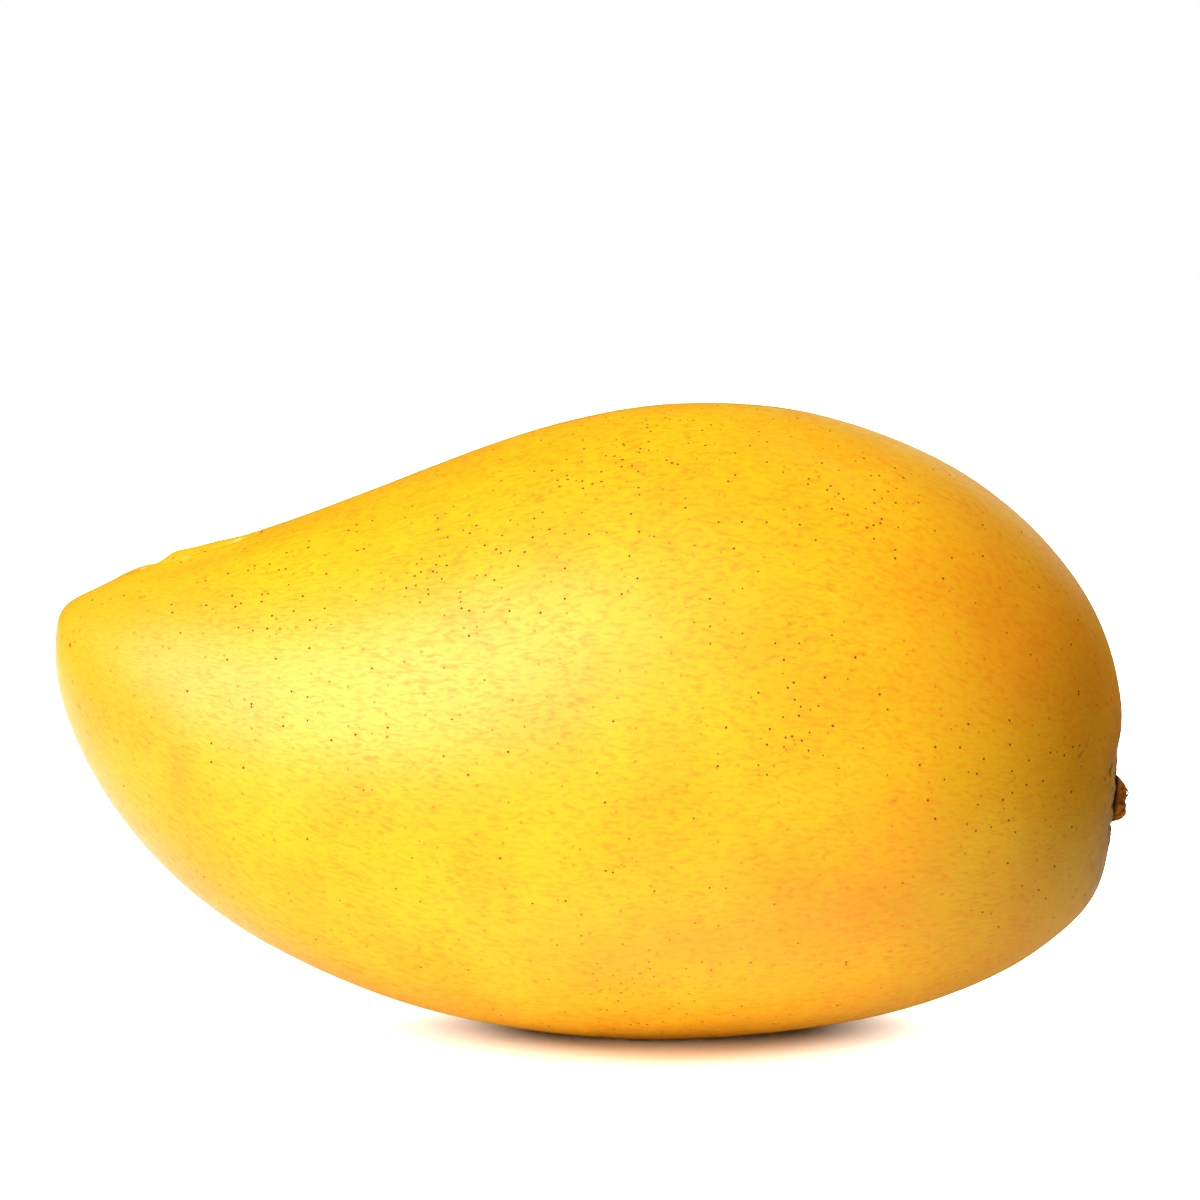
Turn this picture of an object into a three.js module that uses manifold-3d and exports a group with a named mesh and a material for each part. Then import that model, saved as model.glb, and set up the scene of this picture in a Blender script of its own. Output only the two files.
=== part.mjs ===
// A ripe yellow mango, lying on the rounded edge opposite the crest that runs up from its beak.
//
// Millimetres, +Z up. +X points to the stem end and -X to the beak, and the two cheeks face -Y and +Y.
// The origin is on the surface that the fruit rests on, under the middle of its box.

import * as THREE from "three";
import { mergeVertices } from "three/addons/utils/BufferGeometryUtils.js";
import Module from "manifold-3d";

const wasm = await Module();
wasm.setup();

// The fruit. Its sections across X are egg-shaped, and an angle tells where along X a section stands:
// 0 at the stem end, a half turn at the beak tip. Each list gives the waves that add up to one measure.
const LENGTH = 120.4; // before the stem seat is hollowed
const MIDLINE_HEIGHT = [35.4, -3.0, 1.5, -2.5, 0.9]; // cosine waves: level, tilt, bow, hook and curl
const HALF_HEIGHT = [35.0, 4.2, 0.3, -0.1, 0.45]; // sine waves: girth, taper, shoulder, waist, blunt ends
const HALF_THICKNESS = [30.7, 3.7]; // sine waves: girth and taper
const LOW_BULGE = 0.06; // how much broader the lower half of a section is than the upper half

// Swellings (rise above 0) and hollows of the surface, centred on the fruit's middle plane at x from the
// beak tip and z. Breadth says how many times further they reach across that plane than along it.
const SWELLINGS = [
  { x: 119.5, z: 27, rise: -1.2, reach: 4, breadth: 1 }, // stem seat
  { x: 116.5, z: 16, rise: 1.0, reach: 4, breadth: 3 }, // heel under the stem
  { x: 4.5, z: 50.8, rise: -0.7, reach: 2.6, breadth: 3 }, // saddle behind the beak
  { x: 10.5, z: 53.4, rise: -0.5, reach: 2, breadth: 3 }, // hollow before the groove
];

// The suture groove along the crest behind the beak, with a raised lip on both sides.
const GROOVE_START = 6; // from the beak tip
const GROOVE_END = 25;
const GROOVE_SIDE = 1.2; // towards +Y from the crest
const GROOVE_HALF_WIDTH = 1.2;
const GROOVE_DEPTH = 0.8;

// The stem stub, broken off short. Its outline gives radius and height along its own axis, from the root
// in the seat, past the collar at the skin (height 0), to the hollowed broken end.
const STUB_OUTLINE = [
  [0, -1.6],
  [2.1, -1.6],
  [2.45, -0.3],
  [2.45, 0.2],
  [2.1, 0.8],
  [1.65, 1.5],
  [1.2, 1.75],
  [0, 1.55],
];
const STUB_REACH = 118.9; // its middle at the skin, from the beak tip
const STUB_HEIGHT = 27; // the same point, above the resting surface
const STUB_DROOP = THREE.MathUtils.degToRad(7.6);
const STUB_UNEVENNESS = 0.06; // of the radius, three times around and turning on the way out
const STUB_TWIST = 2; // radians of that for each millimetre out
const STUB_END_SLOPE = 0.15; // of the height above the skin, higher on the -Y side
const STUB_SIDES = 16;

// The seat: a plain round hole that the root stands in without touching.
const SEAT_GAP = 0.3;
const SEAT_SIDES = 24;
const SEAT_MOUTH = 6; // how far outside the skin the hole is cut clear

// Facets of the fruit.
const FACETS_ALONG = 64;
const FACETS_AROUND = 64;
const EDGE_DENSITY = 0.4; // draws the facets together along the crest and the resting edge

/** Adds up waves of an angle, the first of them with the given order. */
function addWaves(strengths, wave, firstOrder, angle) {
  return strengths.reduce((sum, strength, i) => sum + strength * wave((firstOrder + i) * angle), 0);
}

/** A bell curve with a height of 1. */
function bell(distance, reach) {
  return Math.exp(-(distance ** 2) / (2 * reach ** 2));
}

/** Leaves a geometry with only its positions and with each corner stored once. */
function weld(geometry) {
  geometry.deleteAttribute("normal");
  geometry.deleteAttribute("uv");
  return mergeVertices(geometry);
}

/** The point of the fruit's smooth body that a point of the unit sphere goes to. */
function bodyPoint(sphere) {
  const along = Math.acos(THREE.MathUtils.clamp(sphere.x, -1, 1));
  const even = Math.atan2(sphere.y, sphere.z);
  const around = even - (EDGE_DENSITY / 2) * Math.sin(2 * even);
  const lift = Math.cos(around);
  const side = Math.sin(around) * (1 - LOW_BULGE * Math.sin(along) * lift);
  return new THREE.Vector3(
    (LENGTH / 2) * (1 + Math.cos(along)),
    addWaves(HALF_THICKNESS, Math.sin, 1, along) * side,
    addWaves(MIDLINE_HEIGHT, Math.cos, 0, along) + addWaves(HALF_HEIGHT, Math.sin, 1, along) * lift,
  );
}

/** Height of the suture groove and its lips at a point of the smooth body. */
function grooveHeight(point) {
  if (point.z < MIDLINE_HEIGHT[0]) {
    return 0;
  }
  const across = (point.y - GROOVE_SIDE) / GROOVE_HALF_WIDTH;
  const along = (2 * point.x - GROOVE_START - GROOVE_END) / (GROOVE_END - GROOVE_START);
  const fade = Math.max(0, 1 - along ** 2);
  return -GROOVE_DEPTH * fade * (1 - across ** 2) * bell(across, 1);
}

/** Height of all local relief at a point of the smooth body. */
function reliefHeight(point) {
  let height = grooveHeight(point);
  for (const { x, z, rise, reach, breadth } of SWELLINGS) {
    height += rise * bell(Math.hypot(point.x - x, point.y / breadth, point.z - z), reach);
  }
  return height;
}

/** The whole fruit before its seat is cut, with a small flat spot where it rests. */
function fruitBody() {
  const sphere = new THREE.SphereGeometry(1, FACETS_AROUND, FACETS_ALONG).rotateZ(-Math.PI / 2);
  const geometry = weld(sphere);
  const position = geometry.attributes.position;
  const point = new THREE.Vector3();
  for (let i = 0; i < position.count; i += 1) {
    position.setXYZ(i, ...bodyPoint(point.fromBufferAttribute(position, i)));
  }
  geometry.computeVertexNormals();
  const normal = new THREE.Vector3();
  for (let i = 0; i < position.count; i += 1) {
    point.fromBufferAttribute(position, i);
    normal.fromBufferAttribute(geometry.attributes.normal, i);
    point.addScaledVector(normal, reliefHeight(point));
    position.setXYZ(i, point.x, point.y, Math.max(0, point.z));
  }
  geometry.deleteAttribute("normal");
  return geometry;
}

/** Puts a shape that stands on +Y in the stem's place, pointing out of the fruit. */
function placeAtStem(geometry) {
  return geometry.rotateZ(-Math.PI / 2).rotateY(STUB_DROOP).translate(STUB_REACH, 0, STUB_HEIGHT);
}

/** The shape that the seat takes out of the fruit. */
function seatCutter() {
  const thickest = Math.max(...STUB_OUTLINE.map(([radius]) => radius));
  const deepest = Math.min(...STUB_OUTLINE.map(([, height]) => height));
  const radius = thickest * (1 + STUB_UNEVENNESS) + SEAT_GAP;
  const bottom = deepest - SEAT_GAP;
  const height = SEAT_MOUTH - bottom;
  const cylinder = new THREE.CylinderGeometry(radius, radius, height, SEAT_SIDES);
  return weld(placeAtStem(cylinder.translate(0, bottom + height / 2, 0)));
}

/** A closed geometry as a solid that can be cut. */
function toSolid(geometry) {
  const vertProperties = new Float32Array(geometry.attributes.position.array);
  const triVerts = new Uint32Array(geometry.index.array);
  return new wasm.Manifold(new wasm.Mesh({ numProp: 3, vertProperties, triVerts }));
}

/** A solid as a geometry again. */
function toGeometry(solid) {
  const mesh = solid.getMesh();
  const geometry = new THREE.BufferGeometry();
  geometry.setAttribute("position", new THREE.BufferAttribute(mesh.vertProperties, 3));
  geometry.setIndex(new THREE.BufferAttribute(mesh.triVerts, 1));
  geometry.computeVertexNormals();
  return geometry;
}

/** The fruit: waxy yellow skin over the flesh, with the seat cut for its stem. */
function makeFruit() {
  const solid = toSolid(fruitBody()).subtract(toSolid(seatCutter()));
  const skin = new THREE.MeshStandardMaterial({ color: 0xf4b72c, roughness: 0.42, metalness: 0 });
  const fruit = new THREE.Mesh(toGeometry(solid), skin);
  fruit.name = "fruit";
  return fruit;
}

/** The stub: a short corky peg with uneven sides and a sloping broken end. */
function makeStemStub() {
  const outline = STUB_OUTLINE.map(([radius, height]) => new THREE.Vector2(radius, height));
  const geometry = weld(new THREE.LatheGeometry(outline, STUB_SIDES));
  const position = geometry.attributes.position;
  for (let i = 0; i < position.count; i += 1) {
    const height = position.getY(i);
    const turn = Math.atan2(position.getZ(i), position.getX(i));
    const swell = 1 + STUB_UNEVENNESS * Math.sin(3 * turn + STUB_TWIST * height);
    const slope = height > 0 ? 1 + STUB_END_SLOPE * Math.cos(turn) : 1;
    position.setXYZ(i, position.getX(i) * swell, height * slope, position.getZ(i) * swell);
  }
  placeAtStem(geometry).computeVertexNormals();
  const cork = new THREE.MeshStandardMaterial({ color: 0x5d4023, roughness: 0.9, metalness: 0 });
  const stub = new THREE.Mesh(geometry, cork);
  stub.name = "stem_stub";
  return stub;
}

const mango = new THREE.Group();
mango.add(makeFruit(), makeStemStub());

// Bring the middle of the box over the origin.
const middle = new THREE.Box3().setFromObject(mango, true).getCenter(new THREE.Vector3());
mango.position.set(-middle.x, -middle.y, 0);

export default mango;
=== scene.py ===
"""A ripe yellow mango with its corky stem stub, dressed for a plain studio photograph.

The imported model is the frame. The skin is drawn over the solid fruit and gets the fine relief and the finish
of a ripe fruit, and a rough corky peg takes the place of the plain stem stub.
"""

import logging
import math
from dataclasses import dataclass
from enum import Enum
from typing import Any, Union

import bmesh
import bpy
from mathutils import Matrix, Vector, interpolate, noise
from mathutils.bvhtree import BVHTree


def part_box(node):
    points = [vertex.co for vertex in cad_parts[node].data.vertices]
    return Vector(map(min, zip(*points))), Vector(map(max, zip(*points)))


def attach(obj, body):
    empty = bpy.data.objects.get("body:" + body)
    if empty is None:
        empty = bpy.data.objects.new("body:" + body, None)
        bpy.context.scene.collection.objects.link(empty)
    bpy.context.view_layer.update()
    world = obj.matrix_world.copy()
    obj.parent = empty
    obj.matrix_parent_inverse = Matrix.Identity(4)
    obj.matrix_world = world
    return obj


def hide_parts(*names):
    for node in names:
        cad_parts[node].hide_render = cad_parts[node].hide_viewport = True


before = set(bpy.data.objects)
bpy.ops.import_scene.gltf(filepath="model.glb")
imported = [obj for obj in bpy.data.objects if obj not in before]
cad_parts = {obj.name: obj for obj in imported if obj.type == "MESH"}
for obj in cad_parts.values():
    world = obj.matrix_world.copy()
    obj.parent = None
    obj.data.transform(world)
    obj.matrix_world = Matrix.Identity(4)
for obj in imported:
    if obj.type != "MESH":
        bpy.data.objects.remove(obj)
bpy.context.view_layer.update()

LOG = logging.getLogger("mango")
MM = 0.001
BODY = "root"
FRUIT_NODE = "fruit"
STUB_NODE = "stem_stub"

Pixel = tuple[float, float]
Colour = tuple[float, float, float, float]
Tree = bpy.types.NodeTree
Feed = Union[float, tuple, bpy.types.NodeSocket, bpy.types.Node]


def linear(hex_colour: str) -> Colour:
    """Turns an sRGB colour into the linear one that shaders take.

    Args:
        hex_colour: the colour as #RRGGBB.

    Returns:
        Linear red, green and blue, with an alpha of 1.
    """
    channels = [int(hex_colour[i : i + 2], 16) / 255 for i in (1, 3, 5)]
    flat = [c / 12.92 if c <= 0.04045 else ((c + 0.055) / 1.055) ** 2.4 for c in channels]
    return (flat[0], flat[1], flat[2], 1.0)


def bell(distance: float, reach: float) -> float:
    """Gives the height of a bell curve that is 1 at its middle."""
    return math.exp(-((distance / reach) ** 2) / 2)


def ramp(start: float, end: float, value: float) -> float:
    """Rises smoothly from 0 at the start to 1 at the end."""
    share = min(1.0, max(0.0, (value - start) / (end - start)))
    return share * share * (3 - 2 * share)


def add_node(
    tree: Tree,
    kind: str,
    inputs: dict[Any, Feed],
    **settings: Any,
) -> bpy.types.Node:
    """Adds a shader node, with its settings, values and links.

    Args:
        tree: the node tree that gets the node.
        kind: the node's type, without the leading ShaderNode.
        inputs: for the name or number of a socket in use, its value, or the socket or node that feeds it.
        settings: the node's own properties.

    Returns:
        The new node.
    """
    node = tree.nodes.new("ShaderNode" + kind)
    for name, value in settings.items():
        setattr(node, name, value)
    for key, value in inputs.items():
        entry = next(s for i, s in enumerate(node.inputs) if s.enabled and key in (i, s.name))
        if isinstance(value, bpy.types.Node):
            value = next(s for s in value.outputs if s.enabled)
        if isinstance(value, bpy.types.NodeSocket):
            tree.links.new(value, entry)
        else:
            entry.default_value = value
    return node


def blank_material(name: str) -> tuple[bpy.types.Material, Tree]:
    """Makes a material with an empty node tree.

    Args:
        name: the material's name.

    Returns:
        The material and its node tree.
    """
    material = bpy.data.materials.new(name)
    material.use_nodes = True
    material.node_tree.nodes.clear()
    return material, material.node_tree


def place_in_mm(tree: Tree) -> bpy.types.Node:
    """Gives the shaded point's place on its piece, in mm."""
    place = add_node(tree, "TexCoord", {}).outputs["Object"]
    return add_node(tree, "VectorMath", {0: place, "Scale": 1 / MM}, operation="SCALE")


def distance_from(tree: Tree, place: Feed, middle: Vector) -> bpy.types.NodeSocket:
    """Gives the distance of the shaded point from a fixed one, in mm."""
    return add_node(tree, "VectorMath", {0: place, 1: middle}, operation="DISTANCE").outputs["Value"]


def paint_patch(
    tree: Tree,
    colour: Feed,
    tint: str,
    distance: Feed,
    ragged: Feed,
    raggedness: float,
    fade: tuple[float, float],
    strength: float = 1.0,
) -> Feed:
    """Paints a patch of another colour, which fades with the distance from its middle to a ragged edge.

    Args:
        tree: the material's node tree.
        colour: the colour under the patch.
        tint: the patch's colour as #RRGGBB.
        distance: the distance from the patch's middle, in mm.
        ragged: the noise that moves its edge.
        raggedness: how far the noise can move the edge, in mm.
        fade: the distances at which the patch begins to fade and at which it is gone, in mm.
        strength: the patch's share of the colour in its middle.

    Returns:
        The colour with the patch.
    """
    edge = add_node(tree, "Math", {0: ragged, 1: raggedness, 2: distance}, operation="MULTIPLY_ADD")
    fading = {"Value": edge, "From Min": fade[0], "From Max": fade[1], "To Min": strength, "To Max": 0.0}
    share = add_node(tree, "MapRange", fading, interpolation_type="SMOOTHSTEP")
    return add_node(tree, "Mix", {"Factor": share, "A": colour, "B": linear(tint)}, data_type="RGBA")


def add_piece(name: str, shape: bmesh.types.BMesh) -> bpy.types.Object:
    """Puts a finished shape in the scene as a smooth-shaded object at the origin, and frees the shape.

    Args:
        name: the object's name.
        shape: its mesh, in metres.

    Returns:
        The new object.
    """
    mesh = bpy.data.meshes.new(name)
    shape.to_mesh(mesh)
    shape.free()
    mesh.shade_smooth()
    piece = bpy.data.objects.new(name, mesh)
    bpy.context.scene.collection.objects.link(piece)
    return piece


@dataclass(frozen=True)
class PhotoView:
    """The photograph's view: a long lens a little above the fruit, with +X to the right."""

    pixels: int = 1200
    frame_width: float = 134.96 * MM
    elevation: float = math.radians(12)
    aim: tuple[float, float, float] = (0.86 * MM, 0.0, 49.25 * MM)
    lens: float = 900.0
    sensor: float = 36.0

    def axes(self) -> tuple[Vector, Vector, Vector]:
        """Gives the image's right and up directions and the one back to the eye."""
        sine, cosine = math.sin(self.elevation), math.cos(self.elevation)
        return Vector((1, 0, 0)), Vector((0, sine, cosine)), Vector((0, -cosine, sine))

    def eye(self) -> Vector:
        """Gives the place of the camera."""
        return Vector(self.aim) + self.axes()[2] * (self.frame_width * self.lens / self.sensor)

    def ray(self, pixel: Pixel) -> Vector:
        """Gives the direction in which the camera sees a pixel.

        Args:
            pixel: the pixel of the photograph.

        Returns:
            The direction, away from the camera.
        """
        right, up, back = self.axes()
        across = (pixel[0] / self.pixels - 0.5) * self.sensor
        rise = (0.5 - pixel[1] / self.pixels) * self.sensor
        return (right * across + up * rise - back * self.lens).normalized()

    def add_camera(self) -> None:
        """Makes the camera and gives it to the scene."""
        data = bpy.data.cameras.new("camera")
        data.sensor_fit = "HORIZONTAL"
        data.sensor_width = self.sensor
        data.lens = self.lens
        data.clip_start = 10 * MM
        camera = bpy.data.objects.new("camera", data)
        turn = Matrix(self.axes()).transposed().to_4x4()
        camera.matrix_world = Matrix.Translation(self.eye()) @ turn
        bpy.context.scene.collection.objects.link(camera)
        bpy.context.scene.camera = camera


class MarkTint(Enum):
    """Colours of the single marks on the skin, with a painted highlight; orange and brown also serve as
    painted shade.
    """

    PAINTED_HIGHLIGHT = "#F9CF7E"
    ORANGE = "#E08A10"
    RUST = "#A04A08"
    BROWN = "#3A1402"


@dataclass(frozen=True)
class Mark:
    """One mark of the skin, where the photograph shows it: a blemish, painted highlight or painted shade, as a
    spot or a line between two pixels.
    """

    start: Pixel
    end: Pixel
    radius: float
    tint: MarkTint
    strength: float = 1.0
    softness: float = 0.6


@dataclass(frozen=True)
class SkinMap:
    """Places on the skin that its finish follows, in mm."""

    stem: Vector
    blush: Vector
    shoulder_rim_light: Vector
    beak: Vector
    marks: list[tuple[Mark, Vector, Vector]]


@dataclass(frozen=True)
class StreakLayer:
    """One layer of streaks, with its sizes in mm. It shows where its noise passes the level to begin at."""

    length: float
    width: float
    wander: float
    begin: float
    strength: float


class StemTint(Enum):
    """Colours of the skin around the stem: a brown stain that is partly painted shade, grey scuffs with
    painted sheen, and painted shade in the crease.
    """

    STAIN_AND_SHADE = "#A0601A"
    SCUFF_AND_SHEEN = "#B0927A"
    CREASE_SHADE = "#2A1206"


@dataclass(frozen=True)
class StemRing:
    """One ring of coloured skin around the stem, which fades from its inner to its outer edge, in mm."""

    tint: StemTint
    strength: float
    inner: float
    outer: float
    raggedness: float
    patches_per_mm: float


@dataclass(frozen=True)
class RipeMangoSkin:
    """Waxy cuticle over ripe flesh, as it grew, with some painted highlight, sheen and shade."""

    # The wax gives a broad satin sheen, and the flesh under it a warm glow. Short soft streaks run along the
    # fruit, small orange spots lie between them, and dark lenticels stand alone or in clusters. All of these
    # are duller than the wax around them. Sizes are in mm.
    yellow: str = "#F4BC04"
    ripe: str = "#F4B906"
    blush: str = "#F4A404"
    beak: str = "#F4B01C"
    cloud: str = "#FEF0D8"
    streak: str = "#FFE09A"
    spot: str = "#F0AE38"
    lenticel: str = "#6A1A00"
    ripe_until: float = -20.0
    yellow_from: float = 30.0
    ground_patch: float = 9.0
    ground_raggedness: float = 16.0
    beak_reach: float = 34.0
    blush_reach: float = 34.0
    shoulder_rim_light_reach: float = 24.0
    reach_core: float = 8.0
    reach_raggedness: float = 12.0
    cloud_patch: float = 10.0
    streak_layers: tuple[StreakLayer, ...] = (
        StreakLayer(length=1.2, width=0.42, wander=1.7, begin=0.46, strength=0.85),
        StreakLayer(length=0.9, width=0.48, wander=1.4, begin=0.50, strength=0.85),
    )
    streak_edge: float = 0.24
    streak_least: float = 0.6
    streak_patch: float = 6.0
    streak_wave: float = 3.4
    spot_cell: float = 1.6
    spot_radius: float = 0.24
    spot_core: float = 0.3
    spot_strength: float = 0.9
    lenticel_cell: float = 0.9
    lenticel_radius: float = 0.18
    lenticel_core: float = 0.55
    lenticel_shift: tuple[float, float, float] = (31.0, 17.0, 53.0)
    stem_rings: tuple[StemRing, ...] = (
        # Brown stain around the stem, widened as painted shade of the dark stem end.
        StemRing(StemTint.STAIN_AND_SHADE, 0.7, inner=8.0, outer=21.0, raggedness=10.0, patches_per_mm=0.5),
        # Grey scuffs, partly painted sheen along the skin's edge by the stem.
        StemRing(StemTint.SCUFF_AND_SHEEN, 0.4, inner=6.5, outer=10.5, raggedness=9.0, patches_per_mm=1.7),
        # Painted shade in the crease around the stem.
        StemRing(StemTint.CREASE_SHADE, 0.6, inner=6.4, outer=8.4, raggedness=6.0, patches_per_mm=1.7),
        StemRing(StemTint.CREASE_SHADE, 0.9, inner=4.9, outer=7.2, raggedness=3.4, patches_per_mm=1.7),
    )
    peel_per_mm: float = 1.1
    peel_depth: float = 0.05
    waxy: float = 0.43
    dull: float = 0.75
    streak_wear: float = 0.25
    spot_wear: float = 0.7

    def material(self, skin: SkinMap) -> bpy.types.Material:
        """Makes the skin's material.

        Args:
            skin: the places that the finish follows.

        Returns:
            The material.
        """
        material, tree = blank_material("ripe_mango_skin")
        place = place_in_mm(tree)
        colour = self._ground(tree, place, skin)
        colour, streaked = self._streaks(tree, place, colour)
        colour, spotted = self._spots(tree, place, colour)
        colour, freckled = self._lenticels(tree, place, colour)
        colour = self._stem_stain_and_shade(tree, place, skin.stem, colour)
        for mark, start, end in skin.marks:
            colour = self._mark(tree, place, mark, start, end, colour)
        peel = add_node(tree, "TexNoise", {"Vector": place, "Scale": self.peel_per_mm, "Detail": 2.0})
        bump = add_node(tree, "Bump", {"Height": peel, "Strength": 0.2, "Distance": self.peel_depth * MM})
        worn = freckled
        for share, wear in ((streaked, self.streak_wear), (spotted, self.spot_wear)):
            dulled = add_node(tree, "Math", {0: share, 1: wear}, operation="MULTIPLY")
            worn = add_node(tree, "Math", {0: worn, 1: dulled}, operation="MAXIMUM")
        gloss = add_node(tree, "MapRange", {"Value": worn, "To Min": self.waxy, "To Max": self.dull})
        shader = add_node(
            tree,
            "BsdfPrincipled",
            {
                "Base Color": colour,
                "Roughness": gloss,
                "IOR": 1.46,
                "Subsurface Weight": 0.1,
                "Subsurface Radius": (3.0, 1.2, 0.3),
                "Subsurface Scale": 0.5 * MM,
                "Normal": bump,
            },
        )
        add_node(tree, "OutputMaterial", {"Surface": shader})
        return material

    def _ground(self, tree: Tree, place: Feed, skin: SkinMap) -> Feed:
        """Gives the colour under all marks: yellow, with other tones at the beak and near the stem, and a
        yellow patch of painted rim light on the shoulder.

        Args:
            tree: the material's node tree.
            place: the point of the skin, in mm.
            skin: the places that the colour follows.

        Returns:
            The colour.
        """
        ragged = add_node(tree, "TexNoise", {"Vector": place, "Scale": 1 / self.ground_patch, "Detail": 3.0})
        side = add_node(tree, "SeparateXYZ", {0: place}).outputs["X"]
        shifted = {0: ragged, 1: self.ground_raggedness, 2: side}
        edge = add_node(tree, "Math", shifted, operation="MULTIPLY_ADD")
        span = {"Value": edge, "From Min": self.ripe_until, "From Max": self.yellow_from}
        share = add_node(tree, "MapRange", span)
        ground = {"Factor": share, "A": linear(self.ripe), "B": linear(self.yellow)}
        colour = add_node(tree, "Mix", ground, data_type="RGBA")
        patches = (
            (skin.beak, self.beak_reach, self.beak),
            (skin.blush, self.blush_reach, self.blush),
            # Painted rim light: a yellow patch where the upper right edge is lit from behind.
            (skin.shoulder_rim_light, self.shoulder_rim_light_reach, self.yellow),
        )
        for middle, reach, tint in patches:
            distance = distance_from(tree, place, middle)
            fade = (self.reach_core, reach)
            colour = paint_patch(tree, colour, tint, distance, ragged, self.reach_raggedness, fade)
        clouds = add_node(tree, "TexNoise", {"Vector": place, "Scale": 1 / self.cloud_patch, "Detail": 3.0})
        share = add_node(tree, "MapRange", {"Value": clouds, "From Min": 0.35, "From Max": 0.65})
        clouded = {"Factor": share, "A": colour, "B": linear(self.cloud)}
        return add_node(tree, "Mix", clouded, data_type="RGBA", blend_type="MULTIPLY")

    def _streaks(self, tree: Tree, place: Feed, colour: Feed) -> tuple[Feed, Feed]:
        """Draws the fine wavy streaks that run along the fruit, stronger in some places than in others.

        Args:
            tree: the material's node tree.
            place: the point of the skin, in mm.
            colour: the colour under the streaks.

        Returns:
            The colour with the streaks, and how much of a streak there is.
        """
        streaked: Feed = 0.0
        grain = add_node(tree, "Attribute", {}, attribute_name="grain").outputs["Vector"]
        patch = add_node(tree, "TexNoise", {"Vector": place, "Scale": 1 / self.streak_patch, "Detail": 2.0})
        for layer in self.streak_layers:
            wave = add_node(tree, "TexNoise", {"Vector": grain, "Scale": 1 / self.streak_wave, "Detail": 2.0})
            bend = {0: wave.outputs["Color"], 1: (layer.wander,) * 3, 2: grain}
            bent = add_node(tree, "VectorMath", bend, operation="MULTIPLY_ADD")
            stretch = {0: bent, 1: (1 / layer.length, 1 / layer.width, 1 / layer.width)}
            drawn = add_node(tree, "VectorMath", stretch, operation="MULTIPLY")
            fibre = add_node(tree, "TexNoise", {"Vector": drawn, "Scale": 1.0, "Detail": 1.0})
            lines = {"Value": fibre, "From Min": layer.begin, "From Max": layer.begin + self.streak_edge}
            dark = add_node(tree, "MapRange", lines, interpolation_type="SMOOTHSTEP")
            fade = {"Value": patch, "From Min": 0.35, "From Max": 0.62}
            fade.update({"To Min": self.streak_least, "To Max": layer.strength})
            strength = add_node(tree, "MapRange", fade)
            share = add_node(tree, "Math", {0: dark, 1: strength}, operation="MULTIPLY")
            drawing = {"Factor": share, "A": colour, "B": linear(self.streak)}
            colour = add_node(tree, "Mix", drawing, data_type="RGBA", blend_type="MULTIPLY")
            streaked = add_node(tree, "Math", {0: streaked, 1: share}, operation="MAXIMUM")
        return colour, streaked

    def _spots(self, tree: Tree, place: Feed, colour: Feed) -> tuple[Feed, Feed]:
        """Draws the small orange spots.

        Args:
            tree: the material's node tree.
            place: the point of the skin, in mm.
            colour: the colour under the spots.

        Returns:
            The colour with the spots, and how much of a spot there is.
        """
        cells = add_node(tree, "TexVoronoi", {"Vector": place, "Scale": 1 / self.spot_cell})
        reach = self.spot_radius / self.spot_cell
        fade = {"Value": cells, "From Min": reach * self.spot_core, "From Max": reach}
        fade.update({"To Min": self.spot_strength, "To Max": 0.0})
        share = add_node(tree, "MapRange", fade, interpolation_type="SMOOTHSTEP")
        drawing = {"Factor": share, "A": colour, "B": linear(self.spot)}
        return add_node(tree, "Mix", drawing, data_type="RGBA", blend_type="MULTIPLY"), share

    def _lenticels(self, tree: Tree, place: Feed, colour: Feed) -> tuple[Feed, Feed]:
        """Draws the small dark lenticels where the fruit has them.

        Args:
            tree: the material's node tree.
            place: the point of the skin, in mm.
            colour: the colour under the lenticels.

        Returns:
            The colour with the lenticels, and how much of a lenticel there is.
        """
        freckles = add_node(tree, "Attribute", {}, attribute_name="freckles").outputs["Fac"]
        shifted = add_node(tree, "VectorMath", {0: place, 1: self.lenticel_shift}, operation="ADD")
        cells = add_node(tree, "TexVoronoi", {"Vector": shifted, "Scale": 1 / self.lenticel_cell})
        chance = add_node(tree, "SeparateColor", {0: cells.outputs["Color"]})
        chosen = add_node(tree, "Math", {0: freckles, 1: chance}, operation="GREATER_THAN")
        reach = self.lenticel_radius / self.lenticel_cell
        fade = {"Value": cells, "From Min": reach * self.lenticel_core, "From Max": reach}
        fade.update({"To Min": 1.0, "To Max": 0.0})
        disc = add_node(tree, "MapRange", fade, interpolation_type="SMOOTHSTEP")
        share = add_node(tree, "Math", {0: disc, 1: chosen}, operation="MULTIPLY")
        drawing = {"Factor": share, "A": colour, "B": linear(self.lenticel)}
        return add_node(tree, "Mix", drawing, data_type="RGBA"), share

    def _stem_stain_and_shade(self, tree: Tree, place: Feed, stem: Vector, colour: Feed) -> Feed:
        """Dulls the skin to brown around the stem, partly as painted shade, with grey scuffs and painted
        sheen, and painted shade in the crease next to it.

        Args:
            tree: the material's node tree.
            place: the point of the skin, in mm.
            stem: the stem's middle at the skin, in mm.
            colour: the colour under the stain and the painted shade.

        Returns:
            The colour with the stain, the painted sheen and the painted shade.
        """
        distance = distance_from(tree, place, stem)
        for ring in self.stem_rings:
            patches = {"Vector": place, "Scale": ring.patches_per_mm, "Detail": 3.0}
            ragged = add_node(tree, "TexNoise", patches)
            fade = (ring.inner, ring.outer)
            tint = ring.tint.value
            colour = paint_patch(tree, colour, tint, distance, ragged, ring.raggedness, fade, ring.strength)
        return colour

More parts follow.
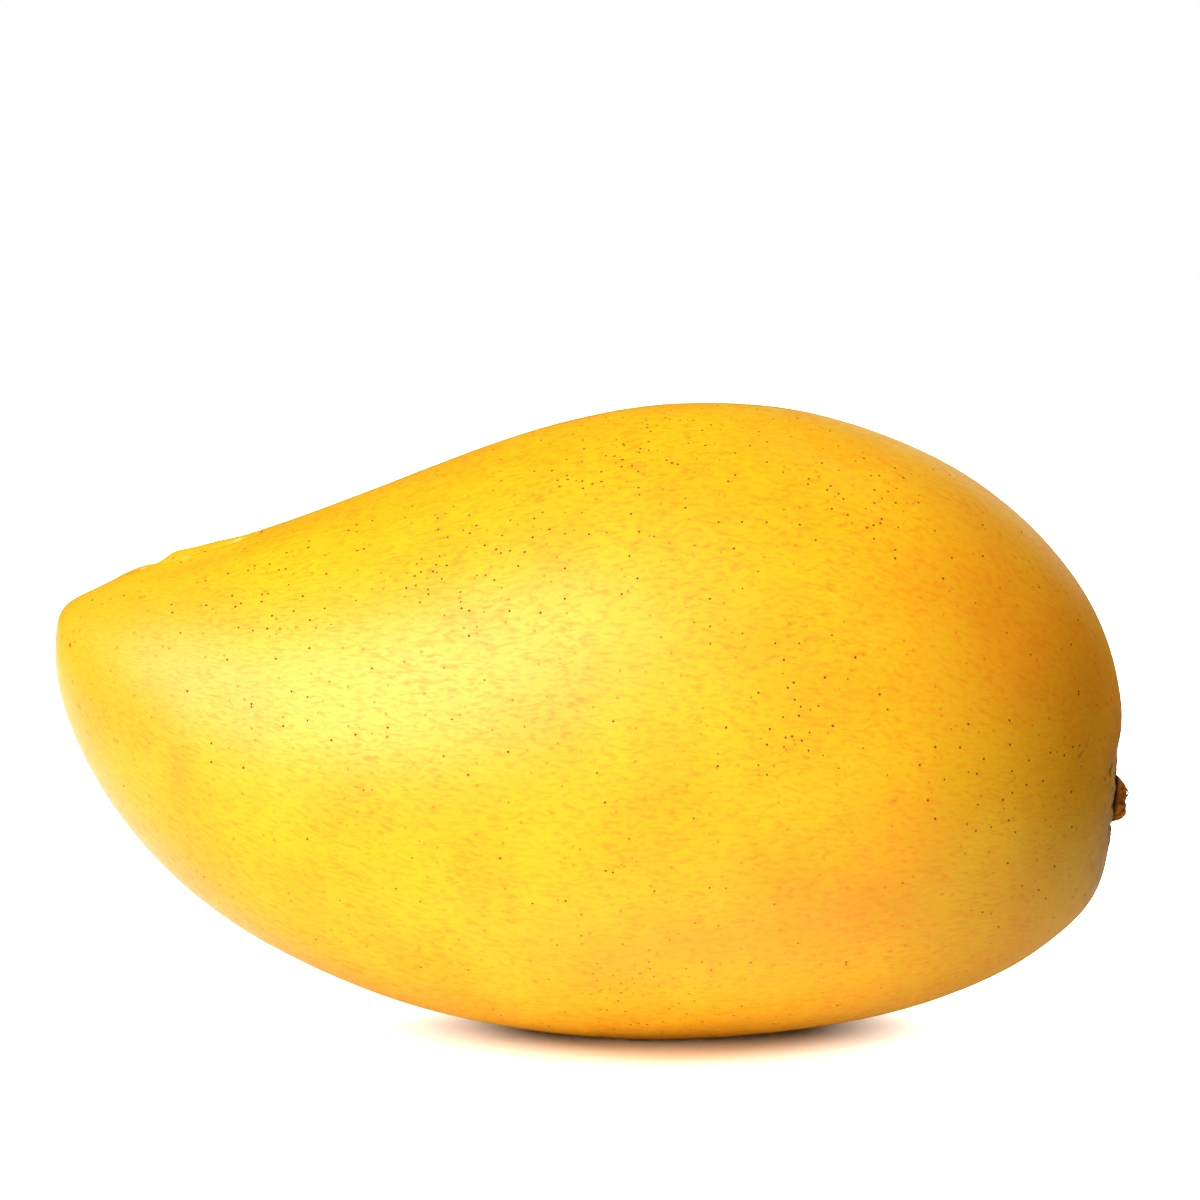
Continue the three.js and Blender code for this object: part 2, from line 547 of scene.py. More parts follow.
    def _mark(
        self,
        tree: Tree,
        place: Feed,
        mark: Mark,
        start: Vector,
        end: Vector,
        colour: Feed,
    ) -> Feed:
        """Draws one mark along the line between its two ends, with a ragged edge.

        Args:
            tree: the material's node tree.
            place: the point of the skin, in mm.
            mark: the mark's looks.
            start: one end of its line on the skin, in mm.
            end: the other end, or the same point for a spot.
            colour: the colour under the mark.

        Returns:
            The colour with the mark.
        """
        line = end - start
        from_line = add_node(tree, "VectorMath", {0: place, 1: start}, operation="SUBTRACT")
        if line.length:
            scaled = line / line.length_squared
            along = add_node(tree, "VectorMath", {0: from_line, 1: scaled}, operation="DOT_PRODUCT")
            clamped = add_node(tree, "Clamp", {0: along.outputs["Value"]})
            foot = add_node(tree, "VectorMath", {0: line, "Scale": clamped}, operation="SCALE")
            from_line = add_node(tree, "VectorMath", {0: from_line, 1: foot}, operation="SUBTRACT")
        distance = add_node(tree, "VectorMath", {0: from_line}, operation="LENGTH").outputs["Value"]
        ragged = add_node(tree, "TexNoise", {"Vector": place, "Scale": 1.2 / mark.radius, "Detail": 2.0})
        # The noise adds half the radius to the distance on average, so the edge lies that much further out.
        outer = 1.5
        fade = (mark.radius * (outer - mark.softness), outer * mark.radius)
        return paint_patch(tree, colour, mark.tint.value, distance, ragged, mark.radius, fade, mark.strength)


@dataclass(frozen=True)
class CorkyStalk:
    """Dry cork of the stalk, broken off."""

    # Grains of light and dark brown without any gloss, and painted shade: nearly black where the stalk goes
    # into its seat.
    light: str = "#E0901C"
    brown: str = "#A85C10"
    dark: str = "#602808"
    # Painted shade where the stalk goes into its seat.
    root: str = "#140802"
    grain: float = 0.5
    dark_until: float = 0.33
    brown_at: float = 0.48
    light_from: float = 0.68
    root_shade_fade: tuple[float, float] = (-0.1, 0.5)
    root_shade_raggedness: float = -0.6

    def material(self, foot: Vector, axis: Vector) -> bpy.types.Material:
        """Makes the cork's material.

        Args:
            foot: the stalk's middle at the skin, in mm.
            axis: the direction in which it points out.

        Returns:
            The material.
        """
        material, tree = blank_material("corky_stalk")
        place = place_in_mm(tree)
        grains = add_node(tree, "TexNoise", {"Vector": place, "Scale": 1 / self.grain, "Detail": 3.0})
        tones = add_node(tree, "ValToRGB", {0: grains})
        tones.color_ramp.elements[0].position = self.dark_until
        tones.color_ramp.elements[0].color = linear(self.dark)
        tones.color_ramp.elements[1].position = self.light_from
        tones.color_ramp.elements[1].color = linear(self.light)
        tones.color_ramp.elements.new(self.brown_at).color = linear(self.brown)
        offset = add_node(tree, "VectorMath", {0: place, 1: foot}, operation="SUBTRACT")
        height = add_node(tree, "VectorMath", {0: offset, 1: axis}, operation="DOT_PRODUCT").outputs["Value"]
        # Painted shade: the cork turns nearly black at its root, where the seat is in shade.
        colour = paint_patch(tree, tones, self.root, height, grains, self.root_shade_raggedness, self.root_shade_fade)
        bump = add_node(tree, "Bump", {"Height": grains, "Strength": 0.6, "Distance": 0.1 * MM})
        finish = {"Base Color": colour, "Roughness": 0.9, "IOR": 1.3, "Normal": bump}
        shader = add_node(tree, "BsdfPrincipled", finish)
        add_node(tree, "OutputMaterial", {"Surface": shader})
        return material


@dataclass(frozen=True)
class DryFibre:
    """A dry strand of the stalk."""

    # Grey, mottled from pale to dark along the strand, and a little glossy.
    pale: str = "#8A8074"
    dark: str = "#3A3228"
    mottle: float = 0.25

    def material(self) -> bpy.types.Material:
        """Makes the fibre's material.

        Returns:
            The material.
        """
        material, tree = blank_material("dry_fibre")
        place = add_node(tree, "TexCoord", {}).outputs["Object"]
        mottling = add_node(tree, "TexNoise", {"Vector": place, "Scale": 1 / (self.mottle * MM)})
        tone = {"Value": mottling, "From Min": 0.3, "From Max": 0.7, "To Min": 0.2, "To Max": 1.0}
        share = add_node(tree, "MapRange", tone)
        mixing = {"Factor": share, "A": linear(self.dark), "B": linear(self.pale)}
        colour = add_node(tree, "Mix", mixing, data_type="RGBA")
        shader = add_node(tree, "BsdfPrincipled", {"Base Color": colour, "Roughness": 0.5})
        add_node(tree, "OutputMaterial", {"Surface": shader})
        return material


@dataclass
class StemStub:
    """The stem stub: a short corky peg, crumbly on its sides and broken end, with a curled dry fibre.

    The outline gives radius and height along the stub's own axis, from its root to the broken end.
    Sizes are in mm.
    """

    outline: tuple[tuple[float, float], ...] = (
        (0.0, -1.4),
        (2.2, -1.4),
        (2.6, -0.5),
        (2.8, 0.1),
        (2.6, 0.5),
        (2.25, 0.95),
        (1.95, 1.4),
        (1.7, 1.62),
        (1.2, 1.62),
        (0.0, 1.5),
    )
    foot: tuple[float, float, float] = (58.44, 0.0, 26.4)
    droop: float = math.radians(7.6)
    sides: int = 80
    outline_cuts: int = 3
    low_side_proud: float = 0.07
    lump_size: float = 0.75
    lump_height: float = 0.16
    crumb_size: float = 0.28
    crumb_height: float = 0.10
    fibre_radius: float = 0.10
    fibre_bow: float = 0.56
    fibre_turn: float = math.radians(-210)
    fibre_lean: float = math.radians(15)
    fibre_foot: tuple[float, float, float] = (-0.95, -0.5, 1.22)
    fibre_sides: int = 8
    fibre_steps: int = 20

    def placing(self) -> Matrix:
        """Gives the move from the stub's own upright frame, in mm, to its place on the fruit."""
        turn = Matrix.Rotation(math.pi / 2 + self.droop, 4, "Y")
        return Matrix.Translation(Vector(self.foot) * MM) @ turn @ Matrix.Scale(MM, 4)

    def axis(self) -> Vector:
        """Gives the direction in which the stub points out of the fruit."""
        return (self.placing().to_3x3() @ Vector((0, 0, 1))).normalized()

    def build(self) -> list[bpy.types.Object]:
        """Models the peg and its fibre in the place of the plain stub.

        Returns:
            The peg and the fibre.
        """
        peg = add_piece("stem_peg", self._peg())
        peg.data.materials.append(CorkyStalk().material(Vector(self.foot), self.axis()))
        fibre = add_piece("stem_fibre", self._fibre())
        fibre.data.materials.append(DryFibre().material())
        for piece in (peg, fibre):
            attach(piece, BODY)
        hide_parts(STUB_NODE)
        return [peg, fibre]

    def _peg(self) -> bmesh.types.BMesh:
        """Turns the peg's outline and roughens it.

        Returns:
            The peg's mesh.
        """
        peg = bmesh.new()
        points = [peg.verts.new((radius, 0, height)) for radius, height in self.outline]
        for first, second in zip(points, points[1:]):
            peg.edges.new((first, second))
        bmesh.ops.subdivide_edges(peg, edges=peg.edges[:], cuts=self.outline_cuts)
        bmesh.ops.spin(
            peg,
            geom=peg.verts[:] + peg.edges[:],
            axis=(0, 0, 1),
            cent=(0, 0, 0),
            steps=self.sides,
            angle=math.tau,
            use_merge=True,
        )
        bmesh.ops.remove_doubles(peg, verts=peg.verts[:], dist=1e-4)
        bmesh.ops.recalc_face_normals(peg, faces=peg.faces[:])
        peg.normal_update()
        for vert in peg.verts:
            lump = noise.noise(vert.co / self.lump_size) * self.lump_height
            crumb = noise.noise(vert.co / self.crumb_size) * self.crumb_height
            vert.co += vert.normal * (lump + crumb)
            if vert.co.z > 0:
                vert.co.z *= 1 + self.low_side_proud * vert.co.x
        bmesh.ops.transform(peg, matrix=self.placing(), verts=peg.verts[:])
        return peg

    def _fibre(self) -> bmesh.types.BMesh:
        """Bends a thin strand into an arc that stands on the upper edge of the broken end.

        Returns:
            The fibre's mesh.
        """
        fibre = bmesh.new()
        bmesh.ops.create_circle(fibre, cap_ends=True, segments=self.fibre_sides, radius=self.fibre_radius)
        bmesh.ops.translate(fibre, vec=(self.fibre_bow, 0, 0), verts=fibre.verts[:])
        bmesh.ops.spin(
            fibre,
            geom=fibre.faces[:],
            axis=(0, 1, 0),
            cent=(0, 0, 0),
            steps=self.fibre_steps,
            angle=self.fibre_turn,
        )
        bmesh.ops.recalc_face_normals(fibre, faces=fibre.faces[:])
        lean = Matrix.Rotation(self.fibre_lean, 4, "Y")
        place = Matrix.Translation(self.fibre_foot)
        bmesh.ops.transform(fibre, matrix=self.placing() @ place @ lean, verts=fibre.verts[:])
        return fibre


@dataclass(frozen=True)
class SutureGroove:
    """The suture groove behind the beak, in mm: a cut with a low near lip before a higher, lumpy far lip.

    Places along it are from the beak tip, and places across it from its middle, with the far side positive.
    """

    start: float = 10.5
    end: float = 25.0
    opening: float = 3.0
    closing: float = 9.0
    lowest: float = 40.0
    side: float = 1.0
    sway: float = 0.3
    sway_length: float = 3.1
    cut_width: float = 0.45
    cut_depth: float = 0.6
    slump: float = 0.6
    slump_edge: tuple[float, float] = (0.6, -0.6)
    slump_foot: tuple[float, float] = (-9.0, -2.0)
    near_lip_height: float = 0.24
    near_lip_side: float = -1.0
    near_lip_width: float = 0.45
    far_lumps: tuple[tuple[float, float, float], ...] = (
        (8.8, 1.2, 0.1),
        (11.2, 0.8, -0.22),
        (13.7, 0.8, 0.22),
        (21.2, 1.6, -0.15),
    )
    far_edge: tuple[float, float] = (-0.2, 1.4)
    far_foot: tuple[float, float] = (6.0, 2.5)
    bed_start: float = 4.5
    bed_end: float = 28.0
    bed_half_width: float = 5.0

    def in_bed(self, point: Vector, along: float) -> bool:
        """Tells whether a point lies in the bed of the groove or close to it."""
        beside = abs(point.y) < self.bed_half_width
        return point.z > self.lowest and beside and self.bed_start < along < self.bed_end

    def height(self, point: Vector, along: float) -> float:
        """Gives the height of the groove's relief.

        Args:
            point: a point of the smooth skin, in mm.
            along: its place along the groove.

        Returns:
            The height above the smooth skin, in mm.
        """
        if point.z < self.lowest or not self.start < along < self.end:
            return 0.0
        opening = ramp(self.start, self.start + self.opening, along)
        opening *= ramp(self.end, self.end - self.closing, along)
        across = point.y - self.side - self.sway * math.sin(along / self.sway_length)
        slump = -self.slump * ramp(*self.slump_edge, across) * ramp(*self.slump_foot, across)
        cut = -self.cut_depth * bell(across, self.cut_width)
        near_lip = self.near_lip_height * bell(across - self.near_lip_side, self.near_lip_width)
        lumps = sum(rise * bell(along - place, reach) for place, reach, rise in self.far_lumps)
        far_lip = lumps * ramp(*self.far_edge, across) * ramp(*self.far_foot, across)
        return opening * (slump + cut + near_lip) + far_lip


@dataclass(frozen=True)
class StemCollar:
    """The wrinkled collar around the stem, with a crease inside it and small pits about it, in mm."""

    reach: float = 16.0
    grain: float = 1.6
    wrinkles: int = 11
    wrinkle_bend: float = 2.0
    wrinkle_height: float = 0.13
    wrinkle_radius: float = 4.9
    wrinkle_width: float = 1.5
    ridge_height: float = 0.22
    ridge_radius: float = 4.1
    ridge_width: float = 0.6
    crease_depth: float = 0.45
    crease_radius: float = 2.9
    crease_width: float = 0.45
    pit_size: float = 0.9
    pit_shift: tuple[float, float, float] = (7.0, 3.0, 1.0)
    pit_level: float = 0.2
    pit_depth: float = 0.5
    pit_radius: float = 4.8
    pit_width: float = 2.2

    def height(self, point: Vector, distance: float, angle: float) -> float:
        """Gives the height of the collar's relief.

        Args:
            point: a point of the smooth skin, in mm.
            distance: its distance from the stem's axis, in mm.
            angle: its angle around that axis.

        Returns:
            The height above the smooth skin, in mm.
        """
        if distance > self.reach:
            return 0.0
        ragged = noise.noise(point / self.grain)
        folds = math.cos(self.wrinkles * angle + self.wrinkle_bend * ragged)
        wrinkle = self.wrinkle_height * folds * bell(distance - self.wrinkle_radius, self.wrinkle_width)
        ridge = self.ridge_height * (1 + ragged) * bell(distance - self.ridge_radius, self.ridge_width)
        crease = -self.crease_depth * bell(distance - self.crease_radius, self.crease_width)
        hole = max(0.0, noise.noise(point / self.pit_size + Vector(self.pit_shift)) - self.pit_level)
        pit = -self.pit_depth * hole * bell(distance - self.pit_radius, self.pit_width)
        return wrinkle + ridge + crease + pit


@dataclass
class Fruit:
    """The fruit: one closed skin drawn over the solid, with the fine relief that a ripe mango has.

    Swells are given by x, z, rise and reach, and unevenness by height and reach, all in mm. The streaks run
    around a core line that is hooked down towards the stem. Lenticels are rare but for clusters and patches
    of the far cheek.
    """

    cage_cuts: int = 127
    sharpest: float = 0.9
    seat_rounds: int = 150
    seat_radius: float = 3.6
    bed_rounds: int = 25
    even_rounds: int = 3
    unevenness: tuple[tuple[float, float], ...] = ((0.10, 14.0), (0.03, 5.0))
    swells: tuple[tuple[float, float, float, float], ...] = (
        (-59.6, 47.9, 0.40, 1.5),
        (-54.2, 51.3, -0.20, 1.6),
        (-46.0, 17.0, 0.26, 9.0),
        (51.5, 10.2, 0.42, 5.5),
        (55.5, 45.0, 0.20, 6.0),
        (59.2, 31.8, -0.35, 1.6),
    )
    groove: SutureGroove = SutureGroove()
    collar: StemCollar = StemCollar()
    grain_radius: float = 32.0
    grain_length: float = 48.0
    grain_margin: float = 0.5
    core_span: float = 60.0
    core_height: float = 35.0
    core_hook: float = 8.5
    core_bow: float = 0.5
    freckle_share: float = 0.06
    cluster_share: float = 0.8
    far_share: float = 0.7
    far_patch: float = 18.0
    far_level: float = 0.1
    far_depth: float = 30.0

    def __post_init__(self) -> None:
        """Reads the fruit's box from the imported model, and the stem's axis from the stub."""
        self.low, self.high = (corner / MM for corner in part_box(FRUIT_NODE))
        stub = StemStub()
        self.stem_foot = Vector(stub.foot)
        self.stem_axis = stub.axis()

    def build(self) -> bpy.types.Object:
        """Models the skin and puts it in the place of the plain solid.

        Returns:
            The skin.
        """
        skin = bmesh.new()
        bmesh.ops.create_cube(skin, size=2.0)
        bmesh.ops.subdivide_edges(skin, edges=skin.edges[:], cuts=self.cage_cuts, use_grid_fill=True)
        self._wrap(skin)
        self._relax(skin)
        self._lift(skin)
        piece = add_piece("mango_skin", skin)
        self._write_grain(piece.data)
        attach(piece, BODY)
        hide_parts(FRUIT_NODE)
        return piece

    def _wrap(self, skin: bmesh.types.BMesh) -> None:
        """Throws the cube's net over the solid fruit, spread as on a ball, and rounds the solid's facets.

        Args:
            skin: the cube's net, which becomes the skin in mm.
        """
        heart = (self.low + self.high) * MM / 2
        reach = (self.high - self.low) / 2
        solid = bmesh.new()
        solid.from_mesh(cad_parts[FRUIT_NODE].data)
        bmesh.ops.remove_doubles(solid, verts=solid.verts[:], dist=1e-6)
        bmesh.ops.triangulate(solid, faces=solid.faces[:])
        solid.normal_update()
        solid.faces.ensure_lookup_table()
        surface = BVHTree.FromBMesh(solid)
        for vert in skin.verts:
            squares = [c * c for c in vert.co]
            ball = Vector()
            for i in range(3):
                one, two = squares[i - 1], squares[i - 2]
                ball[i] = vert.co[i] * math.sqrt(1 - one / 2 - two / 2 + one * two / 3)
            direction = Vector(a * b for a, b in zip(ball, reach)).normalized()
            point, _, index, _ = surface.ray_cast(heart, direction)
            vert.co = self._rounded(point, solid.faces[index]) / MM
        solid.free()

    def _rounded(self, point: Vector, facet: bmesh.types.BMFace) -> Vector:
        """Lifts a point of a flat facet to the round surface that its corners' normals tell of.

        Args:
            point: the point.
            facet: the triangle that it lies on.

        Returns:
            The lifted point, or the same point where the facet has a sharp edge.
        """
        if min(corner.normal.dot(facet.normal) for corner in facet.verts) < self.sharpest:
            return point
        weights = interpolate.poly_3d_calc([corner.co for corner in facet.verts], point)
        lifted = Vector()
        for corner, weight in zip(facet.verts, weights):
            above = (point - corner.co).dot(corner.normal)
            lifted += (point - corner.normal * above) * weight
        return (point + lifted) / 2

    def _relax(self, skin: bmesh.types.BMesh) -> None:
        """Closes the skin under the stem, levels the solid's coarse groove and evens out the rest.

        Args:
            skin: the skin, in mm.
        """
        axes = {"use_axis_x": True, "use_axis_y": True, "use_axis_z": True}
        seat = [vert for vert in skin.verts if self._from_stem(vert.co)[0] < self.seat_radius]
        for _ in range(self.seat_rounds):
            bmesh.ops.smooth_vert(skin, verts=seat, factor=0.8, **axes)
        bed = [vert for vert in skin.verts if self.groove.in_bed(vert.co, vert.co.x - self.low.x)]
        for verts, rounds in ((bed, self.bed_rounds), (skin.verts[:], self.even_rounds)):
            for _ in range(rounds):
                bmesh.ops.smooth_vert(skin, verts=verts, factor=0.5, **axes)
                bmesh.ops.smooth_vert(skin, verts=verts, factor=-0.53, **axes)
        bmesh.ops.recalc_face_normals(skin, faces=skin.faces[:])

    def _lift(self, skin: bmesh.types.BMesh) -> None:
        """Lifts the fine relief out of the smooth skin, inside the solid's box, and turns mm into metres.

        Args:
            skin: the smooth skin, in mm.
        """
        skin.normal_update()
        lifts = [self._relief(vert.co) for vert in skin.verts]
        for vert, lift in zip(skin.verts, lifts):
            vert.co += vert.normal * lift
            for i in range(3):
                vert.co[i] = min(max(vert.co[i], self.low[i]), self.high[i])
        bmesh.ops.scale(skin, vec=(MM, MM, MM), verts=skin.verts[:])

    def _from_stem(self, point: Vector) -> tuple[float, float]:
        """Finds where a point lies around the stem.

        Args:
            point: the point, in mm.

        Returns:
            Its distance from the stem's axis, endless on the beak's half of the fruit, and its angle.
        """
        if point.x < 0:
            return math.inf, 0.0
        offset = point - self.stem_foot
        offset -= self.stem_axis * offset.dot(self.stem_axis)
        return offset.length, math.atan2(offset.y, offset.z)

    def _relief(self, point: Vector) -> float:
        """Gives the height of the fine relief.

        Args:
            point: a point of the smooth skin, in mm.

        Returns:
            The height above the smooth skin, in mm.
        """
        lift = sum(height * noise.noise(point / reach) for height, reach in self.unevenness)
        for x, z, rise, reach in self.swells:
            lift += rise * bell(math.hypot(point.x - x, point.z - z), reach)
        groove = self.groove.height(point, point.x - self.low.x)
        return lift + groove + self.collar.height(point, *self._from_stem(point))

    def _write_grain(self, mesh: bpy.types.Mesh) -> None:
        """Writes where each point lies along and around the fruit, in mm, for the streaks to follow.

        Args:
            mesh: the finished skin, in metres.
        """
        grain = mesh.attributes.new("grain", "FLOAT_VECTOR", "POINT")
        half = self.high.x + self.grain_margin
        for vert, value in zip(mesh.vertices, grain.data):
            point = vert.co / MM
            share = point.x / self.core_span
            core = self.core_height - self.core_hook * share**3 + self.core_bow * share**2
            along = math.acos(max(-1.0, min(1.0, point.x / half)))
            around = math.atan2(point.y, point.z - core)
            ring = (self.grain_radius * math.cos(around), self.grain_radius * math.sin(around))
            value.vector = (self.grain_length * along, *ring)

    def write_freckles(self, mesh: bpy.types.Mesh, clusters: list[tuple[Vector, float]]) -> None:
        """Writes how many lenticels each part of the skin has.

        Args:
            mesh: the finished skin, in metres.
            clusters: the middle and the reach of each cluster, in mm.
        """
        freckles = mesh.attributes.new("freckles", "FLOAT", "POINT")
        for vert, value in zip(mesh.vertices, freckles.data):
            point = vert.co / MM
            crowd = sum(bell((point - middle).length, reach) for middle, reach in clusters)
            patch = max(0.0, noise.noise(point / self.far_patch) + self.far_level)
            far = max(0.0, point.y) / self.far_depth * patch
            value.value = min(1.0, self.freckle_share + self.cluster_share * crowd + self.far_share * far)


# Where the photograph shows clusters of lenticels, with the reach of each in mm.
FRECKLE_CLUSTERS = (
    ((265, 600), 5.5),
    ((640, 450), 8.0),
    ((450, 560), 5.0),
    ((640, 985), 7.0),
    ((1030, 785), 5.0),
    ((800, 700), 4.0),
    ((860, 500), 5.0),
)

# Where the skin turns orange beside the stem, the yellow shoulder above that, which is painted rim light, and
# the tip of the beak.
BLUSH = (1060, 620)
SHOULDER_RIM_LIGHT = (1050, 530)
BEAK = (90, 690)

# Single marks that the photograph shows, with radii in mm. Some are painted light: a highlight along the
# groove's near lip, and shade in the groove, on the lower front and where the stalk sits.
SKIN_MARKS = (
    # Partly painted shade: this broad orange patch also darkens the lower front cheek, as the underside's
    # shade.
    Mark((600, 960), (860, 900), 14.0, MarkTint.ORANGE, 0.55, 1.4),
    Mark((180, 755), (178, 790), 3.0, MarkTint.ORANGE, 0.5, 1.3),
    Mark((70, 645), (70, 645), 0.32, MarkTint.RUST, 0.9),
    Mark((74, 631), (74, 631), 0.30, MarkTint.ORANGE, 0.9),
    Mark((79, 631), (79, 631), 0.30, MarkTint.ORANGE, 0.9),
    Mark((78, 705), (80, 708), 0.35, MarkTint.RUST, 0.5),
    # Painted highlight along the near lip of the groove behind the beak.
    Mark((143, 569), (186, 557), 0.45, MarkTint.PAINTED_HIGHLIGHT, 0.9, 1.0),
    Mark((186, 557), (240, 539), 0.45, MarkTint.PAINTED_HIGHLIGHT, 0.9, 1.0),
    # Painted shade: this orange line stands for the shade in the groove above the near lip.
    Mark((162, 560), (215, 544), 0.45, MarkTint.ORANGE, 0.4, 1.2),
    Mark((126, 575), (141, 570), 0.20, MarkTint.RUST, 0.8),
    Mark((249, 538), (262, 531), 0.22, MarkTint.RUST, 0.9),
    Mark((1090, 733), (1086, 747), 0.16, MarkTint.RUST, 0.4, 0.9),
    Mark((1083, 751), (1079, 758), 0.24, MarkTint.RUST, 0.5, 0.9),
    Mark((1112, 766), (1112, 766), 0.50, MarkTint.BROWN, 0.9),
    Mark((1110, 770), (1110, 770), 0.45, MarkTint.BROWN, 0.9),
    Mark((1110, 775), (1110, 775), 0.40, MarkTint.BROWN, 0.8),
    Mark((1105, 779), (1105, 779), 0.35, MarkTint.BROWN, 0.7),
    Mark((1117, 770), (1117, 770), 0.60, MarkTint.BROWN, 0.7, 1.0),
    # Painted shade where the stalk's root sits in its seat below the stem.
    Mark((1112, 790), (1112, 790), 0.60, MarkTint.BROWN, 0.8, 0.9),
)


class Lit(Enum):
    """What a studio light falls on."""

    FRUIT = "EXCLUDE"
    PAPER = "INCLUDE"


@dataclass(frozen=True)
class Softbox:
    """An oval soft light that faces the fruit, some degrees to the left of the camera and above the paper."""

    name: str
    lit: Lit
    turn: float
    rise: float
    distance: float
    width: float
    height: float
    power: float
    colour: str = "#FFFFFF"
    mirrored: bool = True

    def hang(self, target: Vector, paper: bpy.types.Object) -> None:
        """Puts the light in the scene.

        Args:
            target: the point that it faces, in metres.
            paper: the paper, which the light either leaves out or falls on alone.
        """
        turn, rise = math.radians(self.turn), math.radians(self.rise)
        toward = Vector((-math.sin(turn) * math.cos(rise), -math.cos(turn) * math.cos(rise), math.sin(rise)))
        data = bpy.data.lights.new(self.name, "AREA")
        data.shape = "ELLIPSE"
        data.size = self.width
        data.size_y = self.height
        data.energy = self.power
        data.color = linear(self.colour)[:3]
        lamp = bpy.data.objects.new(self.name, data)
        facing = (-toward).to_track_quat("-Z", "Y")
        lamp.matrix_world = Matrix.LocRotScale(target + toward * self.distance, facing, None)
        lamp.visible_glossy = self.mirrored
        bpy.context.scene.collection.objects.link(lamp)
        receivers = bpy.data.collections.new(self.name + "_receivers")
        receivers.objects.link(paper)
        receivers.collection_objects[0].light_linking.link_state = self.lit.value
        lamp.light_linking.receiver_collection = receivers


